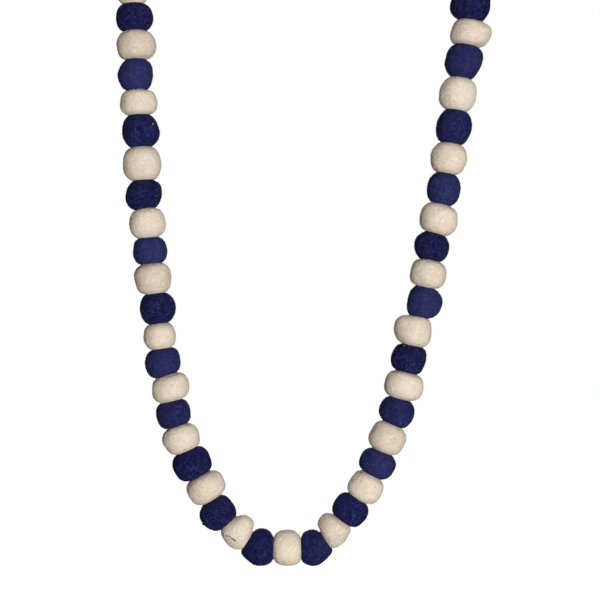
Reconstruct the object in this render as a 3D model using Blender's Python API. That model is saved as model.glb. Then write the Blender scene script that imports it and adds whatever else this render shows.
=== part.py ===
"""Felt ball garland, hanging in a U from a thread loop at each end.

Metres, +Z up. The row of balls hangs in the XZ plane and is seen from -Y.
The origin is the inside top of the left loop, where it bears on whatever holds it.
"""

import math
from typing import NamedTuple

import bmesh
import bpy
from mathutils import Vector, noise

MM = 0.001
GARLAND = "felt_ball_garland"

# Gaps and the thread
HALF_GAP = 0.15 * MM
THREAD_RADIUS = 0.8 * MM
HOLE_RADIUS = 1.25 * MM
TUBE_ROUNDING = 2
WELD_REACH = 0.01 * MM

# How the balls are lumpy, how much of the width is pressed flat at an end, and how far out one ball
# dishes the other
PRESSED_SHARE = 0.45
DISH_RADIUS = 9.0 * MM
LUMP_SHARE = 0.05
LUMP_PITCH = 1.2
LUMP_STEP = Vector((0.0, 0.0, 7.0))
BALL_SIDES = 14
BALL_RINGS = 12
NEAR_POLE = 0.999

# Hanging loops and their knots
LOOP_INNER_RADIUS = 4.0 * MM
LEG_SPACING = 1.15 * MM
LEG_IN_KNOT = 1.6 * MM
LOOP_ARC_STEPS = 12
KNOT_RADIUS = 2.7 * MM
KNOT_HEIGHT = 5.4 * MM
KNOT_RIDGE = 0.35 * MM
KNOT_TURNS = 1.5
KNOT_SQUARE = 2.7
KNOT_SIDES = 12
KNOT_RINGS = 10
LEFT_BEARING = Vector((0.0, 0.0, 0.0))
RIGHT_BEARING = Vector((241.0 * MM, 0.0, 0.0))

CREAM = (0.78, 0.71, 0.60)
BLUE = (0.018, 0.022, 0.115)
THREAD_COLOUR = (0.80, 0.77, 0.70)

# The line of the thread, (x, z) in mm, from the top of the first ball round to the top of the last
DRAPE_STEPS = 24
DRAPE = (
    (1.8, -33.7),
    (4.2, -71.9),
    (5.8, -111.9),
    (9.8, -172.9),
    (13.3, -211.8),
    (19.9, -269.0),
    (25.2, -303.9),
    (32.8, -338.1),
    (47.3, -371.8),
    (66.7, -403.6),
    (79.9, -416.4),
    (97.8, -421.3),
    (116.7, -421.6),
    (133.6, -416.0),
    (144.6, -401.6),
    (163.7, -371.8),
    (177.7, -338.0),
    (187.6, -302.0),
    (195.8, -264.7),
    (207.0, -208.9),
    (217.6, -147.9),
    (224.4, -103.8),
    (234.0, -44.3),
)


class Ball(NamedTuple):
    """One felt ball. Sizes are in mm and angles in degrees.

    along is the thread that it takes up, across its width, and side how far it sits inwards of the
    thread. lean tips its widest line and slant its joint with the next ball, both with the inner
    side towards the next ball. taper is how much wider it gets towards the next ball, as a share.
    full is how full its shoulders are: 2 for an ellipse, and 4 for one that is pressed quite flat
    at its ends. dent is how deep its neighbours press into it, and negative where it presses into
    them.
    """

    along: float
    across: float
    side: float
    lean: float
    slant: float
    taper: float
    full: float
    dent: float


# Cream and blue in turn, from the top of the left side round to the top of the right side
BALLS = (
    Ball(20.3, 22.4, -0.3, 0, 0, 0.00, 3.0, -0.5),
    Ball(18.0, 24.9, 0.3, 0, 0, 0.00, 3.8, 0.3),
    Ball(19.4, 26.4, 0.6, 0, 0, 0.02, 3.8, -0.6),
    Ball(20.6, 23.6, -0.8, -6, 0, 0.00, 3.0, 0.6),
    Ball(17.0, 25.0, 0.4, 0, 0, 0.00, 4.2, -0.3),
    Ball(21.4, 25.0, 0.6, 4, 0, 0.00, 2.6, 0.5),
    Ball(22.8, 25.9, -0.1, 0, 0, 0.00, 3.4, -0.6),
    Ball(18.9, 24.8, -0.5, -9, -3, 0.00, 2.7, 0.5),
    Ball(20.2, 24.4, 0.3, 0, 0, 0.00, 3.6, -1.0),
    Ball(17.1, 23.0, 0.2, 0, 0, 0.00, 3.7, 1.0),
    Ball(20.9, 24.9, 0.0, 0, 0, -0.04, 3.8, -1.0),
    Ball(19.7, 24.0, 1.0, -3, 0, 0.00, 3.2, 1.0),
    Ball(17.8, 21.8, -0.2, 0, 0, 0.00, 3.8, -1.0),
    Ball(17.7, 24.3, -0.8, -6, -6, 0.00, 3.9, 1.2),
    Ball(18.1, 25.7, 1.6, -5, 0, 0.00, 4.0, -0.8),
    Ball(16.9, 23.7, -0.5, 0, 0, 0.00, 4.0, 0.6),
    Ball(18.5, 25.0, -0.8, 0, 0, 0.00, 4.0, -1.0),
    Ball(18.3, 26.3, -0.7, 0, 0, 0.00, 4.1, 1.2),
    Ball(18.8, 26.4, 0.3, 0, 0, 0.00, 4.0, -1.0),
    Ball(18.1, 24.1, -2.3, 0, 0, 0.00, 3.2, 1.2),
    Ball(19.4, 23.7, 1.1, 0, 3, 0.00, 2.7, -3.8),
    Ball(17.9, 24.9, -1.4, 0, -7, 0.05, 2.7, 0.4),
    Ball(18.9, 24.1, 0.6, 0, 7, 0.00, 3.8, 0.8),
    Ball(17.7, 23.8, -1.5, 0, 0, -0.10, 2.6, 0.8),
    Ball(18.5, 23.0, 1.3, 0, 0, 0.04, 3.6, -3.0),
    Ball(17.4, 24.3, -0.5, 0, 0, 0.00, 3.6, 0.6),
    Ball(18.8, 23.4, -1.1, 0, 0, 0.00, 4.0, -0.6),
    Ball(16.9, 24.7, -0.5, 0, 0, 0.00, 3.3, 0.6),
    Ball(20.1, 24.7, -0.4, 0, 5, 0.00, 3.9, -0.8),
    Ball(17.7, 23.8, -0.6, 0, 0, 0.00, 3.4, 0.8),
    Ball(18.5, 26.5, -0.6, 0, 0, 0.00, 4.2, -0.6),
    Ball(18.4, 23.6, 0.6, 0, 0, 0.00, 4.2, 0.5),
    Ball(20.0, 25.9, 2.0, 6, 0, 0.00, 3.4, -0.5),
    Ball(20.3, 23.5, -2.3, 0, 0, 0.00, 2.9, 0.4),
    Ball(18.7, 24.6, -0.6, 0, 0, 0.00, 3.7, -0.6),
    Ball(18.1, 23.5, 0.7, 3, 5, 0.00, 2.8, 0.6),
    Ball(20.3, 25.8, -0.4, 0, 3, 0.00, 3.6, -0.6),
    Ball(20.9, 22.7, -0.4, 0, 0, 0.00, 2.8, 0.6),
    Ball(20.7, 24.6, -0.2, 0, 0, 0.00, 3.5, -0.6),
    Ball(22.4, 23.8, -0.5, -4, 0, 0.00, 3.1, 0.4),
    Ball(22.2, 25.3, 0.5, -4, 0, 0.00, 3.2, -0.5),
    Ball(22.1, 25.0, 0.0, -5, 0, 0.10, 3.0, 0.4),
    Ball(17.2, 27.4, -1.8, -7, 0, 0.00, 4.0, -0.4),
    Ball(21.0, 26.6, 1.7, -6, 0, 0.00, 3.2, 0.3),
)


class Joint(NamedTuple):
    """Where two neighbours press together. dish is how far the earlier one swells past it."""

    place: Vector
    normal: Vector
    dish: float


def clear_scene():
    """Removes what the scene holds, so that a second run starts afresh."""
    for thing in list(bpy.data.objects):
        bpy.data.objects.remove(thing, do_unlink=True)
    for group in list(bpy.data.collections):
        bpy.data.collections.remove(group)


def new_collection(name):
    """An empty collection of the scene."""
    group = bpy.data.collections.new(name)
    bpy.context.scene.collection.children.link(group)
    return group


def plain_material(name, colour, roughness):
    """A Principled material of one colour."""
    material = bpy.data.materials.new(name)
    material.use_nodes = True
    shader = material.node_tree.nodes["Principled BSDF"]
    shader.inputs["Base Color"].default_value = (*colour, 1.0)
    shader.inputs["Roughness"].default_value = roughness
    shader.inputs["Metallic"].default_value = 0.0
    material.diffuse_color = (*colour, 1.0)
    return material


def drape_line():
    """Points close together on a smooth curve through DRAPE."""
    marks = [Vector((x * MM, 0.0, z * MM)) for x, z in DRAPE]
    marks = [2 * marks[0] - marks[1], *marks, 2 * marks[-1] - marks[-2]]
    line = [marks[1]]
    for before, start, finish, after in zip(marks, marks[1:], marks[2:], marks[3:]):
        leaving = (finish - before) / 2
        arriving = (after - start) / 2
        for step in range(1, DRAPE_STEPS + 1):
            t = step / DRAPE_STEPS
            blend = t * t * (3 - 2 * t)
            line.append(
                start.lerp(finish, blend)
                + leaving * (t * (1 - t) ** 2)
                - arriving * (t * t * (1 - t))
            )
    return line


def places_along(line, shares):
    """The points at the given shares of the line's length, in rising order."""
    runs = [(b - a).length for a, b in zip(line, line[1:])]
    total = sum(runs)
    found = []
    passed = 0.0
    index = 0
    for share in shares:
        wanted = share * total
        while index < len(runs) - 1 and passed + runs[index] < wanted:
            passed += runs[index]
            index += 1
        found.append(line[index].lerp(line[index + 1], (wanted - passed) / runs[index]))
    return found


def inward_of(axis):
    """The way square to the thread that faces the inside of the drape."""
    return Vector((-axis.z, 0.0, axis.x))


def make_joints():
    """The joint before each ball, and the one after the last."""
    total = sum(ball.along for ball in BALLS)
    shares = [sum(ball.along for ball in BALLS[:count]) / total for count in range(len(BALLS) + 1)]
    places = places_along(drape_line(), shares)
    ways = [(b - a).normalized() for a, b in zip(places, places[1:])]
    joints = [Joint(places[0], ways[0], 0.0)]
    for count in range(1, len(BALLS)):
        earlier, later = BALLS[count - 1], BALLS[count]
        axis = (ways[count - 1] + ways[count]).normalized()
        slant = math.radians(earlier.slant)
        normal = axis * math.cos(slant) - inward_of(axis) * math.sin(slant)
        joints.append(Joint(places[count], normal, (later.dent - earlier.dent) / 2 * MM))
    joints.append(Joint(places[-1], ways[-1], 0.0))
    return joints


def joint_height(joint, axis, beside):
    """How far along the axis the surface of a joint lies, at a place beside the thread."""
    spread = min(1.0, beside.length / DISH_RADIUS)
    dish = joint.dish / 2 * math.cos(math.pi * spread)
    return (dish - beside.dot(joint.normal)) / axis.dot(joint.normal)


def profile(ring, full):
    """How wide a ball is and how far along, at a ring of its mesh, as shares of half its size.

    The first and the last ring are the rims of its hole, and the next ones those of its flat ends.
    """
    if ring == 1:
        return 0.0, -1.0
    if ring == BALL_RINGS - 1:
        return 0.0, 1.0
    edge = math.asin(PRESSED_SHARE ** (full / 2))
    turned = edge + (ring - 2) / (BALL_RINGS - 4) * (math.pi - 2 * edge)
    return math.sin(turned) ** (2 / full), -math.cos(turned) / math.cos(edge)


def power(value, exponent):
    """The power of a number's size, with the number's sign."""
    return math.copysign(abs(value) ** exponent, value)


def felt_ball(number, ball, before, after, material, parts):
    """A pierced ball, whose ends take the slant and the dish of its two joints."""
    name = f"ball_{number:02d}_{'cream' if number % 2 else 'blue'}"
    chord = after.place - before.place
    axis = chord.normalized()
    inward = inward_of(axis)
    middle = before.place + chord / 2
    half_width = ball.across / 2 * MM
    half_length = chord.length / 2 - HALF_GAP
    lean = math.tan(math.radians(ball.lean))
    form = bmesh.new()
    bmesh.ops.create_uvsphere(form, u_segments=BALL_SIDES, v_segments=BALL_RINGS, radius=1.0)
    poles = [vert for vert in form.verts if abs(vert.co.z) > NEAR_POLE]
    bmesh.ops.delete(form, geom=poles, context="VERTS")
    for vert in form.verts:
        around = vert.co.to_2d().normalized()
        girth, rise = profile(round(math.acos(vert.co.z) / math.pi * BALL_RINGS), ball.full)
        round_way = Vector((around.x * girth, around.y * girth, rise))
        lump = 1 + LUMP_SHARE * girth * noise.noise(round_way * LUMP_PITCH + LUMP_STEP * number)
        width = HOLE_RADIUS + (half_width - HOLE_RADIUS) * girth * lump * (1 + ball.taper * rise)
        beside = inward * (width * around.x + ball.side * MM * girth**2) + Vector((0, width * around.y, 0))
        lengthways = half_length * rise + lean * width * around.x * (1 - rise**2)
        lengthways += joint_height(before if rise < 0 else after, axis, beside) * rise**2
        vert.co = middle + beside + axis * lengthways
    rims = [edge for edge in form.edges if edge.is_boundary]
    bmesh.ops.bridge_loops(form, edges=rims)
    bmesh.ops.recalc_face_normals(form, faces=form.faces)
    return finish_mesh(name, form, material, parts)


def finish_mesh(name, form, material, parts):
    """Turns a bmesh into a smooth shaded object of the collection."""
    mesh = bpy.data.meshes.new(name)
    form.to_mesh(mesh)
    form.free()
    mesh.materials.append(material)
    mesh.shade_smooth()
    thing = bpy.data.objects.new(name, mesh)
    parts.objects.link(thing)
    return thing


def tube(name, points, material, group):
    """A round thread through the points, with closed ends."""
    curve = bpy.data.curves.new(name, "CURVE")
    curve.dimensions = "3D"
    curve.bevel_depth = THREAD_RADIUS
    curve.bevel_resolution = TUBE_ROUNDING
    curve.use_fill_caps = True
    spline = curve.splines.new("POLY")
    spline.points.add(len(points) - 1)
    for spot, point in zip(spline.points, points):
        spot.co = (*point, 1.0)
    curve.materials.append(material)
    thing = bpy.data.objects.new(name, curve)
    group.objects.link(thing)
    return thing


def welded(thing, group):
    """The mesh of a curve object, with its caps welded on."""
    bpy.context.view_layer.update()
    evaluated = thing.evaluated_get(bpy.context.evaluated_depsgraph_get())
    mesh = bpy.data.meshes.new_from_object(evaluated)
    form = bmesh.new()
    form.from_mesh(mesh)
    bmesh.ops.remove_doubles(form, verts=form.verts, dist=WELD_REACH)
    form.to_mesh(mesh)
    form.free()
    name = thing.name
    place = thing.matrix_world.copy()
    bpy.data.objects.remove(thing, do_unlink=True)
    solid = bpy.data.objects.new(name, mesh)
    solid.matrix_world = place
    group.objects.link(solid)
    return solid


def thread(joints, material, parts):
    """The thread from knot to knot, straight in each ball and bending at the joints."""
    points = [joint.place.copy() for joint in joints]
    points[0] += joints[0].normal * HALF_GAP
    points[-1] -= joints[-1].normal * HALF_GAP
    return tube("thread", points, material, parts)


def knot(name, middle, axis, material, parts):
    """A wound knot: a squarish ball with one ridge that climbs round it."""
    form = bmesh.new()
    bmesh.ops.create_uvsphere(form, u_segments=KNOT_SIDES, v_segments=KNOT_RINGS, radius=1.0)
    turn = Vector((0, 0, 1)).rotation_difference(axis).to_matrix()
    for vert in form.verts:
        girth = math.hypot(vert.co.x, vert.co.y)
        angle = math.atan2(vert.co.y, vert.co.x)
        ridge = KNOT_RIDGE * math.cos(angle - KNOT_TURNS * math.tau * vert.co.z) * girth
        width = KNOT_RADIUS * girth ** (2 / KNOT_SQUARE) + ridge
        rise = KNOT_HEIGHT / 2 * power(vert.co.z, 2 / KNOT_SQUARE)
        vert.co = middle + turn @ Vector((width * math.cos(angle), width * math.sin(angle), rise))
    return finish_mesh(name, form, material, parts)


def loop_points(bearing, knot_top, axis):
    """The teardrop line of a loop: up one leg, over its bearing and down the other."""
    middle = bearing - Vector((0, 0, LOOP_INNER_RADIUS))
    radius = LOOP_INNER_RADIUS + THREAD_RADIUS
    up = (middle - knot_top).normalized()
    side = Vector((up.z, 0, -up.x))
    root = knot_top - axis * LEG_IN_KNOT
    taper = math.atan2(radius - LEG_SPACING, (middle - knot_top).length)
    sweep = math.pi + 2 * taper
    points = [root + side * LEG_SPACING]
    for step in range(LOOP_ARC_STEPS + 1):
        angle = step / LOOP_ARC_STEPS * sweep - taper
        points.append(middle + radius * (side * math.cos(angle) + up * math.sin(angle)))
    points.append(root - side * LEG_SPACING)
    return points


def hanging_loop(name, bearing, joint, upward, material, parts, helpers):
    """A knot seated on the end ball, with a loop of the same thread up to its bearing."""
    seat = joint.place + upward * HALF_GAP
    solid = knot(name, seat + upward * KNOT_HEIGHT / 2, upward, material, parts)
    line = loop_points(bearing, seat + upward * KNOT_HEIGHT, upward)
    strand = welded(tube(name + "_strand", line, material, helpers), helpers)
    strand.display_type = "WIRE"
    strand.hide_render = True
    union = solid.modifiers.new("strand", "BOOLEAN")
    union.operation = "UNION"
    union.solver = "EXACT"
    union.object = strand
    return solid


def main():
    clear_scene()
    parts = new_collection(GARLAND)
    helpers = new_collection("cutters")
    cream = plain_material("felt_cream", CREAM, 0.95)
    blue = plain_material("felt_blue", BLUE, 0.95)
    cotton = plain_material("thread", THREAD_COLOUR, 0.8)
    joints = make_joints()
    for number, ball in enumerate(BALLS, start=1):
        felt = cream if number % 2 else blue
        felt_ball(number, ball, joints[number - 1], joints[number], felt, parts)
    thread(joints, cotton, parts)
    first, last = joints[0], joints[-1]
    hanging_loop("left_loop", LEFT_BEARING, first, -first.normal, cotton, parts, helpers)
    hanging_loop("right_loop", RIGHT_BEARING, last, last.normal, cotton, parts, helpers)


main()
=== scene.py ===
"""Looks of the felt ball garland: fine wool balls, the fibres on them, and the cotton loops.

Metres, +Z up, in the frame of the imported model. The garland hangs in the XZ plane and is seen
from -Y. Its balls are numbered from the top of the left side round to the top of the right side.
"""

import logging
import math
from collections.abc import Callable
from dataclasses import dataclass
from enum import Enum

import bmesh
import bpy
import numpy as np
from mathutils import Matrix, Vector, noise
from mathutils.bvhtree import BVHTree


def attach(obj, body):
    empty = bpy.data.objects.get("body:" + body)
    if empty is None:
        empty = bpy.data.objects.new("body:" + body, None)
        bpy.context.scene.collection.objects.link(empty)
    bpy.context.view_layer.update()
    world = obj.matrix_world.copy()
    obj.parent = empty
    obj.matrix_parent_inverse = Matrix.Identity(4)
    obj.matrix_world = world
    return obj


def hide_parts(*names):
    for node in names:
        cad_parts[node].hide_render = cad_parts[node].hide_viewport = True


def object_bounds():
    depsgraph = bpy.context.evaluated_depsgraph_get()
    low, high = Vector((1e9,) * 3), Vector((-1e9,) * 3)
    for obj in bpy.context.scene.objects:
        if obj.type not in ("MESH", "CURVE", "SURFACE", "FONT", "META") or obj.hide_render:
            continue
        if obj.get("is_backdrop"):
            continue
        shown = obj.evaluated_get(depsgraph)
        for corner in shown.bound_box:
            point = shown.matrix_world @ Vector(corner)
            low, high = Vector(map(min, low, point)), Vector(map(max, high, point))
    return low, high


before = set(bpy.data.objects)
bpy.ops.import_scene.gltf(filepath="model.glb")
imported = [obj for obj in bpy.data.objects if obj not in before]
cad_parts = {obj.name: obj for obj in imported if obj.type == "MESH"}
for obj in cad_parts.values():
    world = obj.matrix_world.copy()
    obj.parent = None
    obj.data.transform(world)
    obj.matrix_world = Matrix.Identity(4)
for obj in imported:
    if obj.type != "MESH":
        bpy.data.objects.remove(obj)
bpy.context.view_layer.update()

LOG = logging.getLogger("garland")
MM = 0.001
BODY = "root"
NOISE_SEED = 7
FAR = 1.0
NOISE_MIDDLE = 0.5

Colour = tuple[float, float, float]
Pixel = tuple[float, float]


class Wool(Enum):
    """The two dyed wools of the garland. The value is the record's slot for each."""

    CREAM = "felt_cream"
    BLUE = "felt_blue"


class Lint(Enum):
    """What small foreign specks are caught in the felt."""

    WHITE = "lint_white"
    BROWN = "lint_brown"


class Signal:
    """A number that varies over a surface. Arithmetic on it adds Math nodes."""

    def __init__(self, graph: "Graph", socket: bpy.types.NodeSocket) -> None:
        """Wraps an output socket.

        Args:
            graph: the node graph that the socket is in.
            socket: the output socket that gives the number.
        """
        self.graph = graph
        self.socket = socket

    def maths(self, operation: str, first: "Signal | float", second: "Signal | float") -> "Signal":
        """Adds one Math node.

        Args:
            operation: the Math node's operation.
            first: its first value.
            second: its second value.

        Returns:
            What the node gives.
        """
        node = self.graph.add("ShaderNodeMath", {"operation": operation}, {0: first, 1: second})
        return Signal(self.graph, node.outputs[0])

    def __add__(self, other: "Signal | float") -> "Signal":
        """This plus other."""
        return self.maths("ADD", self, other)

    def __radd__(self, other: float) -> "Signal":
        """Other plus this."""
        return self.maths("ADD", other, self)

    def __sub__(self, other: "Signal | float") -> "Signal":
        """This less other."""
        return self.maths("SUBTRACT", self, other)

    def __rsub__(self, other: float) -> "Signal":
        """Other less this."""
        return self.maths("SUBTRACT", other, self)

    def __mul__(self, other: "Signal | float") -> "Signal":
        """This times other."""
        return self.maths("MULTIPLY", self, other)

    def __rmul__(self, other: float) -> "Signal":
        """Other times this."""
        return self.maths("MULTIPLY", other, self)

    def kept(self) -> "Signal":
        """This, held between 0 and 1."""
        return self.maths("MINIMUM", self.maths("MAXIMUM", self, 0.0), 1.0)


class Graph:
    """The node tree of one material or world."""

    def __init__(self, tree: bpy.types.NodeTree) -> None:
        """Starts from an empty tree.

        Args:
            tree: the node tree to fill.
        """
        self.tree = tree
        tree.nodes.clear()

    def add(self, kind: str, settings: dict | None = None, inputs: dict | None = None) -> bpy.types.Node:
        """Adds one node.

        Args:
            kind: the node's type.
            settings: values of the node's own properties, which are set first.
            inputs: values or links of its sockets, by name or number.

        Returns:
            The new node.
        """
        node = self.tree.nodes.new(kind)
        for name, value in (settings or {}).items():
            setattr(node, name, value)
        for key, value in (inputs or {}).items():
            source = value.socket if isinstance(value, Signal) else value
            if isinstance(source, bpy.types.NodeSocket):
                self.tree.links.new(source, node.inputs[key])
            else:
                node.inputs[key].default_value = source
        return node

    def position(self) -> bpy.types.NodeSocket:
        """The place on the piece in the garland's frame, in millimetres."""
        return self.scaled(self.add("ShaderNodeTexCoord").outputs["Object"], 1 / MM)

    def vector(
        self, operation: str, first: bpy.types.NodeSocket, second: bpy.types.NodeSocket | Colour
    ) -> bpy.types.NodeSocket:
        """Adds one Vector Math node on two vectors.

        Args:
            operation: the node's operation.
            first: its first vector.
            second: its second vector.

        Returns:
            The socket of the resulting vector.
        """
        node = self.add("ShaderNodeVectorMath", {"operation": operation}, {0: first, 1: second})
        return node.outputs[0]

    def scaled(self, place: bpy.types.NodeSocket, factor: Signal | float) -> bpy.types.NodeSocket:
        """A vector times a number.

        Args:
            place: the vector.
            factor: the number.

        Returns:
            The socket of the resulting vector.
        """
        node = self.add("ShaderNodeVectorMath", {"operation": "SCALE"}, {0: place, "Scale": factor})
        return node.outputs[0]

    def noise(self, place: bpy.types.NodeSocket, pitch: float, detail: float = 2.0) -> bpy.types.Node:
        """Adds a noise texture.

        Args:
            place: where it is read, in millimetres.
            pitch: the size of its lumps, in millimetres.
            detail: how many finer layers it has.

        Returns:
            The noise node, whose first output is a number and whose second is a colour.
        """
        return self.add("ShaderNodeTexNoise", {}, {"Vector": place, "Scale": 1 / pitch, "Detail": detail})

    def level(self, place: bpy.types.NodeSocket, pitch: float, detail: float = 2.0) -> Signal:
        """The number that a noise texture gives, around 0.5.

        Args:
            place: where it is read, in millimetres.
            pitch: the size of its lumps, in millimetres.
            detail: how many finer layers it has.

        Returns:
            The noise as a signal.
        """
        return Signal(self, self.noise(place, pitch, detail).outputs[0])

    def drifted(self, place: bpy.types.NodeSocket, pitch: float, reach: float) -> bpy.types.NodeSocket:
        """Places moved about at random, which makes strokes swirl.

        Args:
            place: the places before, in millimetres.
            pitch: how far apart the swirls are, in millimetres.
            reach: how far a place moves, in millimetres.

        Returns:
            The socket of the moved places.
        """
        middle = (NOISE_MIDDLE, NOISE_MIDDLE, NOISE_MIDDLE)
        shove = self.vector("SUBTRACT", self.noise(place, pitch, 1.0).outputs[1], middle)
        return self.vector("ADD", place, self.scaled(shove, reach))

    def lengthened(
        self, place: bpy.types.NodeSocket, way: bpy.types.NodeSocket, stretch: float
    ) -> bpy.types.NodeSocket:
        """Places squeezed along a way, which draws a pattern on them out along it.

        Args:
            place: the places before, in millimetres.
            way: the socket of a unit vector.
            stretch: how many times as long as wide the pattern becomes.

        Returns:
            The socket of the squeezed places.
        """
        node = self.add("ShaderNodeVectorMath", {"operation": "DOT_PRODUCT"}, {0: place, 1: way})
        along = Signal(self, node.outputs["Value"])
        return self.vector("SUBTRACT", place, self.scaled(way, along * (1 - 1 / stretch)))

    def veiled(self, place: bpy.types.NodeSocket, pitch: float, contrast: float) -> Signal:
        """Patches where something shows, with soft edges.

        Args:
            place: where they are read, in millimetres.
            pitch: the size of the patches, in millimetres.
            contrast: how sudden the patches' edges are.

        Returns:
            1 in the patches and 0 outside them.
        """
        return ((self.level(place, pitch) - NOISE_MIDDLE) * contrast + NOISE_MIDDLE).kept()

    def mixed(
        self,
        share: Signal | float,
        first: bpy.types.NodeSocket | Colour,
        second: bpy.types.NodeSocket | Colour,
    ) -> bpy.types.NodeSocket:
        """Mixes two colours.

        Args:
            share: how much of the second colour there is.
            first: the first colour.
            second: the second colour.

        Returns:
            The socket of the mixed colour.
        """
        first_colour, second_colour, result = 6, 7, 2
        inputs = {0: share, first_colour: opaque(first), second_colour: opaque(second)}
        return self.add("ShaderNodeMix", {"data_type": "RGBA"}, inputs).outputs[result]


def opaque(colour: bpy.types.NodeSocket | Colour) -> bpy.types.NodeSocket | tuple[float, ...]:
    """A colour with an alpha of 1 where it is a plain one, and a link as it is."""
    return (*colour, 1.0) if isinstance(colour, tuple) else colour


def principled(name: str, inputs: Callable[[Graph], dict]) -> bpy.types.Material:
    """Makes a Principled material.

    Args:
        name: the material's name.
        inputs: gives the shader's inputs, and adds the nodes that they need to the graph.

    Returns:
        The material.
    """
    material = bpy.data.materials.new(name)
    material.use_nodes = True
    graph = Graph(material.node_tree)
    shader = graph.add("ShaderNodeBsdfPrincipled", {}, inputs(graph))
    graph.add("ShaderNodeOutputMaterial", {}, {"Surface": shader.outputs[0]})
    return material


def wool_of(number: int) -> Wool:
    """The wool of a ball: cream and blue in turn."""
    return Wool.CREAM if number % 2 else Wool.BLUE


@dataclass(frozen=True)
class FeltFinish:
    """Matted wool: a soft body with paler locks, deeper hollows and wide tinted patches."""

    wool: Wool
    body: Colour
    pale: Colour
    deep: Colour
    tint: Colour
    # painted shade: a near-black that the crease attribute mixes in, standing for the shadow inside a
    # crease
    soil_and_painted_shade: Colour
    lock_share: float
    hollow_share: float
    tint_share: float
    sheen: float
    swirl_pitch: float = 7.0
    swirl_reach: float = 8.0
    stroke_pitch: float = 1.25
    stroke_stretch: float = 5.0
    cross_swirl_pitch: float = 5.0
    cross_swirl_reach: float = 9.0
    cross_pitch: float = 0.95
    cross_stretch: float = 4.0
    field_pitch: float = 5.0
    field_contrast: float = 5.0
    stroke_detail: float = 4.0
    contrast: float = 5.5
    tint_pitch: float = 4.5
    tint_contrast: float = 4.0
    grain_pitch: float = 0.45
    grain_detail: float = 3.0
    stroke_relief: float = 1.6
    grain_relief: float = 0.3
    bump_height: float = 0.30 * MM
    roughness: tuple[float, float] = (0.86, 1.0)
    gloss: float = 0.12
    sheen_roughness: float = 0.6

    def build(self) -> bpy.types.Material:
        """Makes the material."""
        return principled(self.wool.value, self.inputs)

    def inputs(self, graph: Graph) -> dict:
        """The shader's inputs: colour, roughness and bump from nodes, and the rest even.

        Args:
            graph: the material's nodes.

        Returns:
            Values and links by the name of their socket.
        """
        place = graph.position()
        flow = graph.drifted(place, self.swirl_pitch, self.swirl_reach)
        cross_flow = graph.drifted(place, self.cross_swirl_pitch, self.cross_swirl_reach)
        comb = graph.add("ShaderNodeAttribute", {"attribute_name": "comb"}).outputs["Vector"]
        drawn = graph.lengthened(flow, comb, self.stroke_stretch)
        cross_drawn = graph.lengthened(cross_flow, comb, self.cross_stretch)
        stroke = graph.level(drawn, self.stroke_pitch, self.stroke_detail)
        cross = graph.level(cross_drawn, self.cross_pitch, self.stroke_detail)
        field = graph.veiled(place, self.field_pitch, self.field_contrast)
        fibres = stroke * field + cross * (1 - field)
        locks = ((fibres - NOISE_MIDDLE) * self.contrast).kept()
        hollow = ((NOISE_MIDDLE - fibres) * self.contrast).kept()
        grain = graph.level(place, self.grain_pitch, self.grain_detail)
        wide = graph.veiled(place, self.tint_pitch, self.tint_contrast)
        tone = Signal(graph, graph.add("ShaderNodeAttribute", {"attribute_name": "tone"}).outputs["Fac"])
        # painted shade: an attribute that marks the inside of the creases, where the shadow falls
        soil_and_painted_shade = Signal(graph, graph.add("ShaderNodeAttribute", {"attribute_name": "soil_and_painted_shade"}).outputs["Fac"])
        colour = graph.mixed(wide * self.tint_share, self.body, self.tint)
        colour = graph.mixed(hollow * self.hollow_share, colour, self.deep)
        colour = graph.mixed((tone * -1.0).kept(), colour, self.deep)
        colour = graph.mixed((locks * self.lock_share + tone.kept()).kept(), colour, self.pale)
        # paints shade into the creases by mixing the colour towards the near-black
        colour = graph.mixed(soil_and_painted_shade.kept(), colour, self.soil_and_painted_shade)
        height = fibres * self.stroke_relief + grain * self.grain_relief
        relief = {"Strength": 1.0, "Distance": self.bump_height, "Height": height}
        least, most = self.roughness
        return {
            "Base Color": colour,
            "Roughness": least + grain * (most - least),
            "Specular IOR Level": self.gloss,
            "Sheen Weight": self.sheen,
            "Sheen Roughness": self.sheen_roughness,
            "Sheen Tint": opaque(self.pale),
            "Normal": graph.add("ShaderNodeBump", {}, relief).outputs[0],
        }


@dataclass(frozen=True)
class FibreFinish:
    """One shade of the single wool fibres that lie on the felt or stand off it."""

    name: str
    colour: Colour
    roughness: float = 0.9
    gloss: float = 0.1
    sheen: float = 0.15

    def build(self) -> bpy.types.Material:
        """Makes the material. A fibre is too thin to show a pattern, so its colour is even."""
        inputs = {
            "Base Color": opaque(self.colour),
            "Roughness": self.roughness,
            "Specular IOR Level": self.gloss,
            "Sheen Weight": self.sheen,
        }
        return principled(self.name, lambda _: inputs)


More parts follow.
